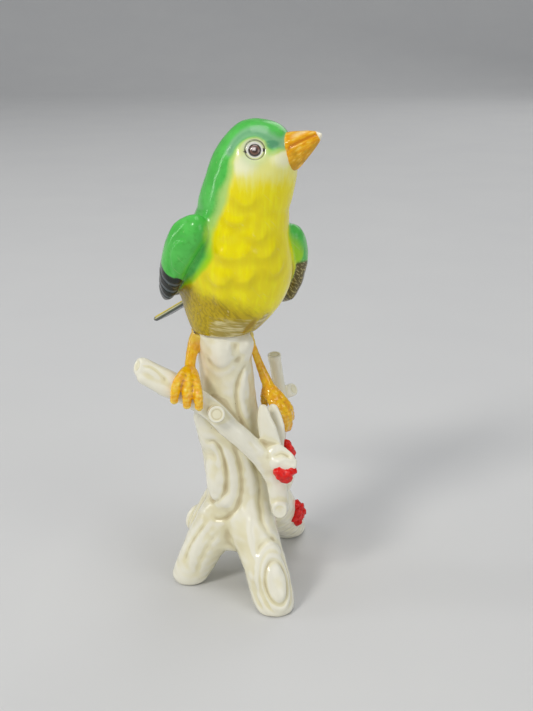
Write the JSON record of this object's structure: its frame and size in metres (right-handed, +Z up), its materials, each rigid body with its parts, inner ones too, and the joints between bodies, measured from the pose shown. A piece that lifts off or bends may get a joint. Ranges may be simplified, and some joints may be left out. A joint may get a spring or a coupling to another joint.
{
  "type": "bird figurine",
  "caption": "Glazed porcelain figurine of a small bird perched on a rooted tree stump with branches, leaves and berries.",
  "frame": {"origin": "middle of the figure's box in X and Y, on the surface that the root feet stand on", "axes": "+Z up, -Y the stump's front, +X the bird's left"},
  "size_m": [0.0617, 0.0738, 0.1657],
  "materials": {
    "ivory_glaze": "glossy clear glaze over warm white body",
    "yellow_enamel": "airbrushed on-glaze enamel, glossy",
    "green_enamel": "airbrushed on-glaze enamel, glossy",
    "orange_enamel": "mottled on-glaze enamel, glossy",
    "black_enamel": "on-glaze enamel, glossy",
    "eye_enamel": "painted eye, glossy",
    "red_enamel": "on-glaze enamel, glossy"
  },
  "bodies": {
    "root": {"stump": "ivory_glaze", "front_branch": "ivory_glaze", "branch_stub": "ivory_glaze", "perch_branch": "ivory_glaze", "perch_side_twig": "ivory_glaze", "leaf_tall": "ivory_glaze", "leaf_back": "ivory_glaze", "leaf_folded": "ivory_glaze", "leaf_lower": "ivory_glaze", "berries_upper": "red_enamel", "berries_middle": "red_enamel", "berries_lower": "red_enamel", "bird_body": "yellow_enamel", "bird_head": "green_enamel", "beak": "orange_enamel", "eye_right": "eye_enamel", "eye_left": "eye_enamel", "wing_right": "green_enamel", "wing_left": "green_enamel", "tail": "black_enamel", "leg_right": "orange_enamel", "leg_left": "orange_enamel", "foot_right": "orange_enamel", "foot_left": "orange_enamel"}
  },
  "joints": []
}
